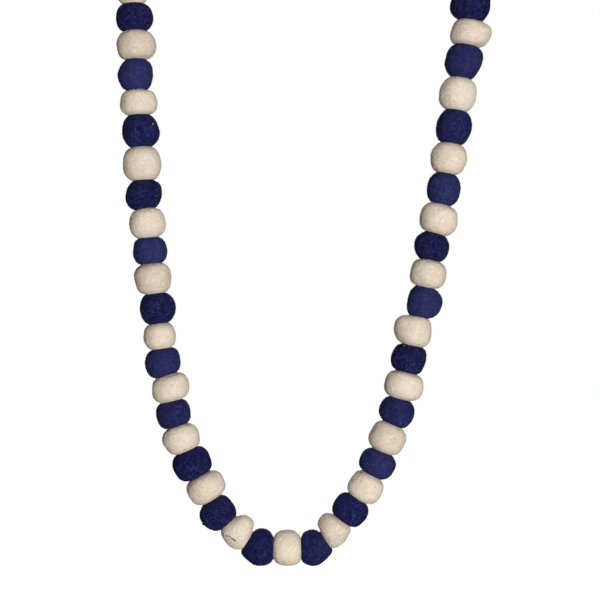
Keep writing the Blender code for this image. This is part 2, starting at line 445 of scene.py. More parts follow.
@dataclass(frozen=True)
class CottonFinish:
    """Undyed cotton thread, a little soiled in its twist."""

    name: str = "cotton_thread"
    body: Colour = (0.80, 0.75, 0.65)
    soiled: Colour = (0.56, 0.50, 0.40)
    grain_pitch: float = 0.35
    soil_pitch: float = 2.5
    detail: float = 3.0
    soil_least: float = 0.4
    soil_contrast: float = 2.5
    soil_share: float = 0.5
    grain_share: float = 0.3
    bump_strength: float = 0.8
    bump_height: float = 0.06 * MM
    roughness: tuple[float, float] = (0.75, 0.95)
    gloss: float = 0.2
    sheen: float = 0.15

    def build(self) -> bpy.types.Material:
        """Makes the material."""
        return principled(self.name, self.inputs)

    def inputs(self, graph: Graph) -> dict:
        """The shader's inputs: colour, roughness and bump from nodes, and the rest even.

        Args:
            graph: the material's nodes.

        Returns:
            Values and links by the name of their socket.
        """
        place = graph.position()
        grain = graph.level(place, self.grain_pitch, self.detail)
        patches = graph.level(place, self.soil_pitch, self.detail) - self.soil_least
        soil_and_painted_shade = (patches * self.soil_contrast).kept() * self.soil_share
        relief = {"Strength": self.bump_strength, "Distance": self.bump_height, "Height": grain}
        least, most = self.roughness
        return {
            "Base Color": graph.mixed((soil_and_painted_shade + grain * self.grain_share).kept(), self.body, self.soiled),
            "Roughness": least + grain * (most - least),
            "Specular IOR Level": self.gloss,
            "Sheen Weight": self.sheen,
            "Normal": graph.add("ShaderNodeBump", {}, relief).outputs[0],
        }


def corners(mesh: bpy.types.Mesh) -> np.ndarray:
    """The places of a mesh's vertices.

    Args:
        mesh: the mesh to read.

    Returns:
        An array with a row of x, y and z for each vertex.
    """
    flat = np.empty(len(mesh.vertices) * 3, np.float32)
    mesh.vertices.foreach_get("co", flat)
    return flat.reshape(-1, 3).astype(float)


def move_corners(mesh: bpy.types.Mesh, places: np.ndarray) -> None:
    """Moves a mesh's vertices.

    Args:
        mesh: the mesh to change.
        places: a row of x, y and z for each vertex.
    """
    mesh.vertices.foreach_set("co", places.astype(np.float32).ravel())
    mesh.update()


def outward(mesh: bpy.types.Mesh) -> np.ndarray:
    """The way out of the surface at each vertex.

    Args:
        mesh: the mesh to read.

    Returns:
        An array with a unit vector for each vertex.
    """
    flat = np.empty(len(mesh.vertices) * 3, np.float32)
    mesh.vertices.foreach_get("normal", flat)
    return flat.reshape(-1, 3).astype(float)


def eased(values: np.ndarray, low: float, high: float) -> np.ndarray:
    """A soft step.

    Args:
        values: the numbers to read.
        low: where the step starts, at 0.
        high: where it ends, at 1.

    Returns:
        The height of the step for each number.
    """
    share = np.clip((values - low) / (high - low), 0.0, 1.0)
    return share * share * (3 - 2 * share)


def unit(vectors: np.ndarray) -> np.ndarray:
    """The same vectors with a length of 1."""
    return vectors / np.maximum(np.linalg.norm(vectors, axis=-1, keepdims=True), 1e-12)


def swept(paths: np.ndarray, radii: np.ndarray, ups: np.ndarray, sides: int) -> tuple[np.ndarray, list]:
    """Round bars along many paths of as many points each, closed at both ends.

    Args:
        paths: the points, in the shape (paths, points, 3).
        radii: the bar's radius at each point, in the shape (paths, points).
        ups: a way square to each path, roughly, in the same shape as the points.
        sides: how many sides a bar has.

    Returns:
        The vertices and the faces, as lists of vertex numbers.
    """
    count, steps = paths.shape[:2]
    along = unit(np.gradient(paths, axis=1))
    across = unit(np.cross(along, ups))
    square = np.cross(across, along)
    turn = np.arange(sides) / sides * math.tau
    ring = across[:, :, None] * np.cos(turn)[:, None] + square[:, :, None] * np.sin(turn)[:, None]
    places = paths[:, :, None] + ring * radii[:, :, None, None]
    first = (np.arange(count) * steps * sides)[:, None, None]
    row = (np.arange(steps - 1) * sides)[None, :, None]
    side = np.arange(sides)[None, None, :]
    after = (side + 1) % sides
    low, low_after = first + row + side, first + row + after
    walls = np.stack([low, low_after, low_after + sides, low + sides], axis=-1).reshape(-1, 4)
    starts = (first[:, :, 0] + np.arange(sides)[::-1]).reshape(-1, sides)
    ends = (first[:, :, 0] + (steps - 1) * sides + np.arange(sides)).reshape(-1, sides)
    faces = walls.tolist() + starts.tolist() + ends.tolist()
    return places.reshape(-1, 3), faces


def search_tree(mesh: bpy.types.Mesh) -> BVHTree:
    """A tree that finds the nearest place on a mesh, or where a ray meets it."""
    places = [vertex.co for vertex in mesh.vertices]
    return BVHTree.FromPolygons(places, [face.vertices for face in mesh.polygons])


def new_piece(
    name: str, places: np.ndarray, faces: list, finishes: list[bpy.types.Material]
) -> bpy.types.Object:
    """Makes a smooth shaded piece that rides on the garland's body.

    Args:
        name: the piece's name.
        places: the vertices.
        faces: the faces, as lists of vertex numbers.
        finishes: the materials of its slots.

    Returns:
        The piece.
    """
    mesh = bpy.data.meshes.new(name)
    mesh.from_pydata(places.tolist(), [], faces)
    mesh.shade_smooth()
    for finish in finishes:
        mesh.materials.append(finish)
    piece = bpy.data.objects.new(name, mesh)
    bpy.context.scene.collection.objects.link(piece)
    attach(piece, BODY)
    return piece


@dataclass(frozen=True)
class PhotoCamera:
    """The camera that took the photograph, level and square to the garland."""

    place: tuple[float, float, float] = (115.7 * MM, -957.0 * MM, -253.5 * MM)
    lens: float = 85.0
    sensor: float = 36.0
    pixels: int = 600

    def way_through(self, pixel: Pixel) -> Vector:
        """The direction in which a pixel of the photograph is seen.

        Args:
            pixel: the place in the photograph, from its top left corner.

        Returns:
            A unit vector.
        """
        step = self.sensor / self.lens / self.pixels
        middle = self.pixels / 2
        across, down = pixel
        return Vector(((across - middle) * step, 1.0, (middle - down) * step)).normalized()

    def build(self) -> bpy.types.Object:
        """Makes the camera and gives it to the scene.

        Returns:
            The camera.
        """
        data = bpy.data.cameras.new("photo_camera")
        data.lens = self.lens
        data.sensor_width = self.sensor
        data.clip_end = 50.0
        camera = bpy.data.objects.new("photo_camera", data)
        camera.location = self.place
        camera.rotation_euler = (math.pi / 2, 0.0, 0.0)
        bpy.context.scene.collection.objects.link(camera)
        bpy.context.scene.camera = camera
        return camera


@dataclass(frozen=True)
class SoftLight:
    """A square soft box that faces the garland's middle."""

    name: str
    place: tuple[float, float, float]
    size: float
    strength: float

    def build(self, middle: Vector) -> bpy.types.Object:
        """Makes the light.

        Args:
            middle: what the light faces.

        Returns:
            The light. At a strength of 1 a white surface that faces it is seen as white.
        """
        way = middle - Vector(self.place)
        data = bpy.data.lights.new(self.name, "AREA")
        data.size = self.size
        data.energy = self.strength * (math.pi * way.length) ** 2
        light = bpy.data.objects.new(self.name, data)
        light.location = self.place
        light.rotation_mode = "QUATERNION"
        light.rotation_quaternion = way.to_track_quat("-Z", "Y")
        bpy.context.scene.collection.objects.link(light)
        return light


@dataclass(frozen=True)
class Studio:
    """A pale floor well below the garland, a white surround and soft boxes."""

    floor_level: float = -1.0
    floor_radius: float = 9.0
    floor_sides: int = 96
    floor_glow: float = 1.08
    floor_colour: Colour = (0.9, 0.9, 0.9)
    surround: float = 0.08
    lights: tuple[SoftLight, ...] = (
        SoftLight("key_soft_box", (0.65, -1.90, -0.53), 0.7, 1.0),
        SoftLight("back_soft_box", (0.0, 1.90, -0.05), 0.7, 0.7),
        SoftLight("top_soft_box", (0.12, 0.15, 1.40), 0.9, 0.22),
    )

    def build(self) -> None:
        """Makes the floor, the surround and the lights."""
        low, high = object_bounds()
        for light in self.lights:
            light.build((low + high) / 2)
        self.build_floor()
        self.build_surround()
        bpy.context.scene.view_settings.view_transform = "Standard"
        LOG.info("studio: %d soft boxes over a pale floor", len(self.lights))

    def build_floor(self) -> None:
        """Makes the floor, which the garland's wool takes no light from."""
        mesh = bpy.data.meshes.new("floor")
        disc = bmesh.new()
        bmesh.ops.create_circle(disc, cap_ends=True, segments=self.floor_sides, radius=self.floor_radius)
        disc.to_mesh(mesh)
        disc.free()
        inputs = {
            "Base Color": opaque(self.floor_colour),
            "Roughness": 1.0,
            "Specular IOR Level": 0.0,
            "Emission Color": opaque(self.floor_colour),
            "Emission Strength": self.floor_glow,
        }
        mesh.materials.append(principled("pale_floor", lambda _: inputs))
        floor = bpy.data.objects.new("floor", mesh)
        floor.location = (0.0, 0.0, self.floor_level)
        floor.visible_diffuse = False
        floor.visible_glossy = False
        bpy.context.scene.collection.objects.link(floor)
        floor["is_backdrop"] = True

    def build_surround(self) -> None:
        """Makes a surround that is seen as white and lights the garland only faintly."""
        world = bpy.data.worlds.new("surround")
        world.use_nodes = True
        graph = Graph(world.node_tree)
        seen = Signal(graph, graph.add("ShaderNodeLightPath").outputs["Is Camera Ray"])
        strength = self.surround + seen * (1.0 - self.surround)
        glow = graph.add("ShaderNodeBackground", {}, {"Color": (1.0, 1.0, 1.0, 1.0), "Strength": strength})
        graph.add("ShaderNodeOutputWorld", {}, {"Surface": glow.outputs[0]})
        bpy.context.scene.world = world


@dataclass(frozen=True)
class Crease:
    """A short open crease in a ball, along pixels of the photograph, with shade painted along its inside.
    """

    ball: int
    pixels: tuple[Pixel, ...]
    half_width: float = 0.85 * MM
    depth: float = 1.3 * MM
    lip: float = 0.15 * MM
    lip_reach: float = 3.0
    # darkness and core: how strongly, and over how much of the width, shade is painted along the crease's
    # middle
    darkness: float = 0.95
    core: float = 0.4


@dataclass(frozen=True)
class Nub:
    """A small knob of wool that stands off a ball at a pixel of the photograph."""

    ball: int
    pixel: Pixel
    radius: float
    height: float


@dataclass(frozen=True)
class Speck:
    """A bit of lint caught in a ball at a pixel of the photograph."""

    ball: int
    pixel: Pixel
    lint: Lint
    size: float


# grooves in the surface, with shade painted along their inside
CREASES = (
    Crease(21, ((225.5, 535.6), (229.0, 536.2), (231.5, 538.2)), 0.45 * MM, 0.7 * MM),
    Crease(21, ((229.5, 536.6), (231.8, 538.6), (234.8, 541.0))),
)
NUBS = (Nub(20, (202.5, 524.5), 1.6 * MM, 0.7 * MM),)
SPECKS = (
    Speck(6, (153.0, 124.0), Lint.WHITE, 0.45 * MM),
    Speck(9, (151.0, 230.0), Lint.BROWN, 0.30 * MM),
    Speck(9, (151.5, 226.0), Lint.BROWN, 0.25 * MM),
    Speck(32, (404.0, 345.5), Lint.WHITE, 0.35 * MM),
    Speck(39, (433.0, 157.0), Lint.BROWN, 0.45 * MM),
    Speck(43, (467.5, 33.3), Lint.BROWN, 0.35 * MM),
)
PALE_BALLS = {16: 0.10, 24: 0.04, 30: 0.08, 34: 0.20, 38: 0.17, 40: 0.06}


@dataclass
class FeltBall:
    """One felted ball, made fine from its solid in the frame."""

    number: int
    node: bpy.types.Object
    neighbours: list[BVHTree]
    finish: bpy.types.Material
    weld_reach: float = 0.02 * MM
    hole_least: float = 10.0 * MM
    fit_rounds: int = 3
    fine_levels: int = 3
    creased_levels: int = 4
    kept_faces: int = 9500
    creased_faces: int = 30000
    seam_reach: float = 1.6 * MM
    seam_closed: float = 0.45 * MM
    seam_share: float = 0.49
    clearance: float = 0.14 * MM
    calm_from: float = 0.3 * MM
    calm_to: float = 1.6 * MM
    lump_pitch: float = 7.5 * MM
    lump_height: float = 0.38 * MM
    lump_step: float = 3.0
    ripple_pitch: float = 2.6 * MM
    ripple_height: float = 0.16 * MM
    ripple_crest: float = 0.5
    grain_pitch: float = 1.2 * MM
    grain_height: float = 0.06 * MM
    tone_spread: float = 0.25
    comb_tilt: float = 0.5

    def build(self, camera: PhotoCamera) -> bpy.types.Object:
        """Makes the fine ball in the place of its solid.

        Args:
            camera: the photograph's camera, for the marks that are placed by its pixels.

        Returns:
            The new piece.
        """
        creases = [crease for crease in CREASES if crease.ball == self.number]
        name = f"{self.node.name}_felt"
        piece = bpy.data.objects.new(name, self.cage(name))
        bpy.context.scene.collection.objects.link(piece)
        self.fit(piece)
        self.apply_modifiers(piece, self.creased_levels if creases else self.fine_levels)
        near = self.settle(piece.data)
        self.felt_over(piece.data, near)
        lines = [self.crease_line(piece.data, crease, camera) for crease in creases]
        for crease, line in zip(creases, lines):
            self.open_crease(piece.data, crease, line)
        for nub in NUBS:
            if nub.ball == self.number:
                self.raise_nub(piece.data, nub, camera)
        self.thin_out(piece, self.creased_faces if creases else self.kept_faces)
        # paints shade into the creases
        if creases:
            self.paint_crease_shade(piece.data, creases, lines)
        self.dress(piece)
        return piece

    def cage(self, name: str) -> bpy.types.Mesh:
        """The solid's own faces, welded and joined back into four-sided ones.

        Args:
            name: the new mesh's name.

        Returns:
            A coarse mesh, in which the rims of the thread's hole stay sharp.
        """
        form = bmesh.new()
        form.from_mesh(self.node.data)
        bmesh.ops.remove_doubles(form, verts=form.verts, dist=self.weld_reach)
        bmesh.ops.join_triangles(
            form, faces=form.faces, angle_face_threshold=math.pi, angle_shape_threshold=math.pi
        )
        sharpness = form.edges.layers.float.new("crease_edge")
        for face in form.faces:
            along_hole = {edge for edge in face.edges if edge.calc_length() > self.hole_least}
            for edge in face.edges:
                if along_hole and edge not in along_hole:
                    edge[sharpness] = 1.0
        mesh = bpy.data.meshes.new(name)
        form.to_mesh(mesh)
        form.free()
        return mesh

    def fit(self, piece: bpy.types.Object) -> None:
        """Moves the cage out until its smooth surface runs through the solid's corners.

        Args:
            piece: the piece that holds the cage.
        """
        goal = corners(piece.data)
        rounding = piece.modifiers.new("rounding", "SUBSURF")
        rounding.levels = rounding.render_levels = 1
        for _ in range(self.fit_rounds):
            bpy.context.view_layer.update()
            evaluated = piece.evaluated_get(bpy.context.evaluated_depsgraph_get())
            reached = corners(evaluated.data)[: len(goal)]
            move_corners(piece.data, corners(piece.data) + goal - reached)

    def apply_modifiers(self, piece: bpy.types.Object, levels: int) -> None:
        """Turns the cage into its fine smooth surface.

        Args:
            piece: the piece that holds the cage.
            levels: how often each face is parted in four.
        """
        rounding = piece.modifiers["rounding"]
        rounding.levels = rounding.render_levels = levels
        self.bake_shape(piece)

    def thin_out(self, piece: bpy.types.Object, faces: int) -> None:
        """Joins the smallest faces where the surface is even.

        Args:
            piece: the fine ball.
            faces: about how many triangles are kept.
        """
        triangles = sum(len(face.vertices) - 2 for face in piece.data.polygons)
        thinning = piece.modifiers.new("thinning", "DECIMATE")
        thinning.ratio = faces / triangles
        self.bake_shape(piece)

    def bake_shape(self, piece: bpy.types.Object) -> None:
        """Replaces the ball's mesh by what its modifiers make of it.

        Args:
            piece: the ball.
        """
        bpy.context.view_layer.update()
        evaluated = piece.evaluated_get(bpy.context.evaluated_depsgraph_get())
        shaped = bpy.data.meshes.new_from_object(evaluated)
        before = piece.data
        piece.modifiers.clear()
        piece.data = shaped
        bpy.data.meshes.remove(before)
        shaped.name = piece.name
        shaped.shade_smooth()

    def settle(self, mesh: bpy.types.Mesh) -> np.ndarray:
        """Presses the surface up to its neighbours, each ball taking half of a seam's gap.

        Args:
            mesh: the fine surface.

        Returns:
            How far each vertex was from the nearest neighbour's solid.
        """
        places = corners(mesh)
        near = np.full(len(places), FAR)
        ways = np.zeros_like(places)
        for index, place in enumerate(places):
            point = Vector(place)
            for solid in self.neighbours:
                found, normal, _, distance = solid.find_nearest(point, self.seam_reach)
                if found is not None and distance < near[index]:
                    inside = (point - found).dot(normal) < 0
                    near[index] = -distance if inside else distance
                    ways[index] = normal
        share = self.seam_share * (1 - eased(near, self.seam_closed, self.seam_reach))
        kept = np.maximum(near * (1 - share), self.clearance)
        held = near < self.seam_reach
        move_corners(mesh, places + ways * ((kept - near) * held)[:, None])
        return near

    def felt_over(self, mesh: bpy.types.Mesh, near: np.ndarray) -> None:
        """Gives the surface its lumps, matted ripples and grain, which fade out where balls press.

        Args:
            mesh: the fine surface.
            near: how far each vertex is from the nearest neighbour.
        """
        places = corners(mesh)
        shift = Vector((0.0, 0.0, self.lump_step * self.number))
        heights = np.empty(len(places))
        for index, place in enumerate(places):
            point = Vector(place)
            lump = noise.noise(point / self.lump_pitch + shift)
            swirl = noise.noise_vector(point / self.lump_pitch)
            ripple = self.ripple_crest - abs(noise.noise(point / self.ripple_pitch + swirl)) * 2
            grain = noise.noise(point / self.grain_pitch + swirl)
            heights[index] = lump * self.lump_height + ripple * self.ripple_height
            heights[index] += grain * self.grain_height
        heights *= eased(near, self.calm_from, self.calm_to)
        move_corners(mesh, places + outward(mesh) * heights[:, None])

    def under(self, mesh: bpy.types.Mesh, pixel: Pixel, camera: PhotoCamera) -> Vector:
        """The place on a ball that a pixel of the photograph shows.

        Args:
            mesh: the ball's surface.
            pixel: the pixel.
            camera: the photograph's camera.

        Returns:
            The place, or the one nearest to it where the pixel is just beside the ball.
        """
        tree = search_tree(mesh)
        start, way = Vector(camera.place), camera.way_through(pixel)
        found = tree.ray_cast(start, way)[0]
        if found is None:
            found = tree.find_nearest(start - way * (start.y / way.y))[0]
        return found

    def crease_line(self, mesh: bpy.types.Mesh, crease: Crease, camera: PhotoCamera) -> np.ndarray:
        """Where a crease runs on the surface.

        Args:
            mesh: the fine surface.
            crease: the crease.
            camera: the photograph's camera.

        Returns:
            The crease's points in order.
        """
        return np.array([self.under(mesh, pixel, camera) for pixel in crease.pixels])

    def from_line(self, places: np.ndarray, line: np.ndarray) -> np.ndarray:
        """How far places are from a line.

        Args:
            places: a row of x, y and z for each place.
            line: the line's points in order.

        Returns:
            The distance of each place.
        """
        distance = np.full(len(places), FAR)
        for start, end in zip(line, line[1:]):
            way = end - start
            share = np.clip((places - start) @ way / (way @ way), 0.0, 1.0)
            distance = np.minimum(distance, np.linalg.norm(places - start - share[:, None] * way, axis=1))
        return distance

    def open_crease(self, mesh: bpy.types.Mesh, crease: Crease, line: np.ndarray) -> None:
        """Cuts a crease with raised lips into the surface.

        Args:
            mesh: the fine surface.
            crease: how wide and deep the crease is.
            line: where it runs.
        """
        distance = self.from_line(corners(mesh), line)
        inside = eased(distance, 0.0, crease.half_width)
        lip_end = crease.lip_reach * crease.half_width
        lip = inside * (1 - eased(distance, crease.half_width, lip_end))
        heights = crease.lip * lip - crease.depth * (1 - inside)
        move_corners(mesh, corners(mesh) + outward(mesh) * heights[:, None])

    def paint_crease_shade(self, mesh: bpy.types.Mesh, creases: list[Crease], lines: list[np.ndarray]) -> None:
        """Paints shade into the inside of the creases, where the shadow falls.

        Args:
            mesh: the ball's surface.
            creases: how wide and dark each crease is.
            lines: where they ran before the grooves were cut.
        """
        places = corners(mesh)
        dark = np.zeros(len(places))
        for crease, line in zip(creases, lines):
            way = unit(line.mean(axis=0) - places.mean(axis=0))
            flat_places = places - np.outer(places @ way, way)
            flat_line = line - np.outer(line @ way, way)
            distance = self.from_line(flat_places, flat_line)
            shade = 1 - eased(distance, crease.core * crease.half_width, crease.half_width)
            near = self.from_line(places, line) < crease.depth + crease.half_width
            dark = np.maximum(dark, crease.darkness * shade * near)
        # painted shade: strongest along each crease's middle line
        soil_and_painted_shade = mesh.attributes.new("soil_and_painted_shade", "FLOAT", "POINT")
        soil_and_painted_shade.data.foreach_set("value", dark.astype(np.float32))

    def raise_nub(self, mesh: bpy.types.Mesh, nub: Nub, camera: PhotoCamera) -> None:
        """Raises a small knob on the surface.

        Args:
            mesh: the fine surface.
            nub: where the knob is and how big it is.
            camera: the photograph's camera.
        """
        middle = np.array(self.under(mesh, nub.pixel, camera))
        places = corners(mesh)
        distance = np.linalg.norm(places - middle, axis=1)
        heights = nub.height * (1 - eased(distance, 0.0, nub.radius))
        move_corners(mesh, places + outward(mesh) * heights[:, None])

    def dress(self, piece: bpy.types.Object) -> None:
        """Gives the ball its felt, its own tone and stroke, and its place in the garland.

        Args:
            piece: the fine ball.
        """
        mesh = piece.data
        mesh.materials.clear()
        mesh.materials.append(self.finish)
        draw = np.random.default_rng(self.number)
        level = PALE_BALLS.get(self.number, draw.uniform(-1.0, 1.0) * self.tone_spread)
        tone = mesh.attributes.new("tone", "FLOAT", "POINT")
        tone.data.foreach_set("value", np.full(len(mesh.vertices), level, np.float32))
        turn = draw.uniform(0.0, math.tau)
        tilt = draw.uniform(-self.comb_tilt, self.comb_tilt)
        way = unit(np.array((math.cos(turn), tilt, math.sin(turn))))
        comb = mesh.attributes.new("comb", "FLOAT_VECTOR", "POINT")
        comb.data.foreach_set("vector", np.tile(way, len(mesh.vertices)).astype(np.float32))
        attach(piece, BODY)
        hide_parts(self.node.name)


@dataclass(frozen=True)
class FibreBatch:
    """Fibres of one sort, with the same number of vertices each."""

    places: np.ndarray
    faces: list
    corners_each: int

    def shades(self, draw: np.random.Generator, count: int) -> np.ndarray:
        """The shade of each face, which is the same all over a fibre.

        Args:
            draw: the source of random numbers.
            count: how many shades there are.

        Returns:
            The number of a shade for each face.
        """
        chosen = draw.integers(0, count, len(self.places) // self.corners_each)
        first = np.array([face[0] for face in self.faces])
        return chosen[first // self.corners_each]


@dataclass(frozen=True)
class FibreCoat:
    """The single fibres on a ball: a short nap, long ones matted down, and stray ones."""

    nap: int = 1900
    nap_length: tuple[float, float] = (0.4 * MM, 1.05 * MM)
    nap_radius: float = 0.06 * MM
    nap_tilt: tuple[float, float] = (0.35, 1.2)
    lying: int = 80
    lying_points: int = 6
    lying_length: tuple[float, float] = (2.5 * MM, 6.0 * MM)
    lying_radius: tuple[float, float] = (0.05 * MM, 0.13 * MM)
    lying_lift: float = 0.05 * MM
    lying_end: float = 0.15
    wander: float = 0.9
    stray: int = 60
    stray_points: int = 4
    stray_length: tuple[float, float] = (1.0 * MM, 2.4 * MM)
    stray_radius: float = 0.04 * MM
    stray_curl: float = 0.5
    stray_tilt: tuple[float, float] = (0.6, 1.5)
    stray_droop: float = 0.45
    stray_bow: float = 1.4
    stray_reach: float = 0.6
    root_depth: float = 0.15 * MM
    root_clearance: float = 1.0 * MM
    tip_share: float = 0.25
    sides: int = 3

    def build(
        self, ball: FeltBall, piece: bpy.types.Object, finishes: list[bpy.types.Material]
    ) -> bpy.types.Object:
        """Makes the fibres of one ball as one piece.

        Args:
            ball: the ball that they are on.
            piece: its fine felt surface.
            finishes: the shades of its fibres.

        Returns:
            The piece of fibres.
        """
        draw = np.random.default_rng(ball.number)
        mesh = piece.data
        places, normals = corners(mesh), outward(mesh)
        free = self.free_roots(places, ball)
        batches = [
            self.matted(draw, search_tree(mesh), places, normals, free),
            self.standing(draw, places, normals, free),
            self.napped(draw, places, normals, free),
        ]
        vertices, faces = np.zeros((0, 3)), []
        for batch in batches:
            shift = len(vertices)
            faces += [[corner + shift for corner in face] for face in batch.faces]
            vertices = np.concatenate([vertices, batch.places])
        fibres = new_piece(f"{ball.node.name}_fibres", vertices, faces, finishes)
        shades = np.concatenate([batch.shades(draw, len(finishes)) for batch in batches])
        fibres.data.polygons.foreach_set("material_index", shades.astype(np.int32))
        return fibres

    def free_roots(self, places: np.ndarray, ball: FeltBall) -> np.ndarray:
        """The vertices that are clear of the neighbours, where fibres can root.

        Args:
            places: the vertices of the felt surface.
            ball: the ball, which knows its neighbours.

        Returns:
            The numbers of those vertices.
        """
        clear = []
        for place in places:
            spot = Vector(place)
            near = (solid.find_nearest(spot, self.root_clearance)[0] for solid in ball.neighbours)
            clear.append(all(found is None for found in near))
        return np.flatnonzero(clear)

    def matted(
        self,
        draw: np.random.Generator,
        tree: BVHTree,
        places: np.ndarray,
        normals: np.ndarray,
        free: np.ndarray,
    ) -> FibreBatch:
        """Fibres that wander over the felt and are half sunk in it.

        Args:
            draw: the source of random numbers.
            tree: the felt surface.
            places: its vertices.
            normals: the way out at each of them.
            free: the vertices where a fibre can start.

        Returns:
            The fibres.
        """
        roots = draw.choice(free, self.lying)
        length = draw.uniform(*self.lying_length, self.lying)
        step = length / (self.lying_points - 1)
        point, up = places[roots], normals[roots]
        way = unit(np.cross(up, draw.normal(size=(self.lying, 3))))
        paths, ups = [], []
        for index in range(self.lying_points):
            on_felt = [tree.find_nearest(Vector(spot)) for spot in point]
            point = np.array([found[0] for found in on_felt])
            up = np.array([found[1] for found in on_felt])
            lift = -self.root_depth if index in (0, self.lying_points - 1) else self.lying_lift
            paths.append(point + up * lift)
            ups.append(up)
            bend = draw.normal(0.0, self.wander, self.lying)[:, None] / math.sqrt(self.lying_points)
            way = unit(way + np.cross(up, way) * bend)
            way = unit(way - up * np.sum(way * up, axis=1, keepdims=True))
            point = point + way * step[:, None]
        radius = draw.uniform(*self.lying_radius, self.lying)[:, None]
        taper = np.sin(np.linspace(self.lying_end, math.pi - self.lying_end, self.lying_points)) ** 0.5
        bars = swept(np.stack(paths, 1), radius * taper, np.stack(ups, 1), self.sides)
        return FibreBatch(*bars, self.lying_points * self.sides)

    def standing(
        self, draw: np.random.Generator, places: np.ndarray, normals: np.ndarray, free: np.ndarray
    ) -> FibreBatch:
        """Stray fibres that lean over and stand off the felt.

        Args:
            draw: the source of random numbers.
            places: the vertices of the felt surface.
            normals: the way out at each of them.
            free: the vertices where a fibre can root.

        Returns:
            The fibres.
        """
        roots = draw.choice(free, self.stray)
        up = normals[roots]
        lean = unit(np.cross(up, draw.normal(size=(self.stray, 3))))
        curl = np.cross(up, lean) * draw.normal(0.0, self.stray_curl, self.stray)[:, None]
        length = draw.uniform(*self.stray_length, self.stray)[:, None]
        tilt = draw.uniform(*self.stray_tilt, self.stray)[:, None]
        paths = []
        for share in np.linspace(0.0, 1.0, self.stray_points):
            rise = share * (1 - self.stray_droop * share)
            reach = lean * share**self.stray_bow * tilt + curl * share**2
            path = (up * rise + reach * self.stray_reach) * length
            paths.append(places[roots] - up * self.root_depth + path)
        side = np.repeat(np.cross(up, lean)[:, None], self.stray_points, axis=1)
        taper = np.linspace(1.0, self.tip_share, self.stray_points)
        radii = np.full((self.stray, 1), self.stray_radius) * taper
        bars = swept(np.stack(paths, 1), radii, side, self.sides)
        return FibreBatch(*bars, self.stray_points * self.sides)

    def napped(
        self, draw: np.random.Generator, places: np.ndarray, normals: np.ndarray, free: np.ndarray
    ) -> FibreBatch:
        """The short nap: straight fibres that run out to a point.

        Args:
            draw: the source of random numbers.
            places: the vertices of the felt surface.
            normals: the way out at each of them.
            free: the vertices where a fibre can root.

        Returns:
            The fibres.
        """
        roots = draw.choice(free, self.nap)
        up = normals[roots]
        lean = unit(np.cross(up, draw.normal(size=(self.nap, 3))))
        side = np.cross(up, lean)
        tilt = draw.uniform(*self.nap_tilt, self.nap)[:, None]
        way = up * np.cos(tilt) + lean * np.sin(tilt)
        foot = places[roots] + draw.normal(0.0, self.nap_radius, (self.nap, 3)) - way * self.root_depth
        tip = foot + way * draw.uniform(*self.nap_length, self.nap)[:, None]
        turn = np.arange(self.sides) / self.sides * math.tau
        spokes = [lean * math.cos(angle) + side * math.sin(angle) for angle in turn]
        ring = [foot + spoke * self.nap_radius for spoke in spokes]
        corner = np.arange(self.nap)[:, None] * (self.sides + 1)
        base = corner + np.arange(self.sides)[::-1]
        walls = []
        for number in range(self.sides):
            after = (number + 1) % self.sides
            walls.append(np.concatenate([corner + number, corner + after, corner + self.sides], axis=1))
        faces = np.concatenate([base, *walls]).tolist()
        return FibreBatch(np.stack([*ring, tip], 1).reshape(-1, 3), faces, self.sides + 1)


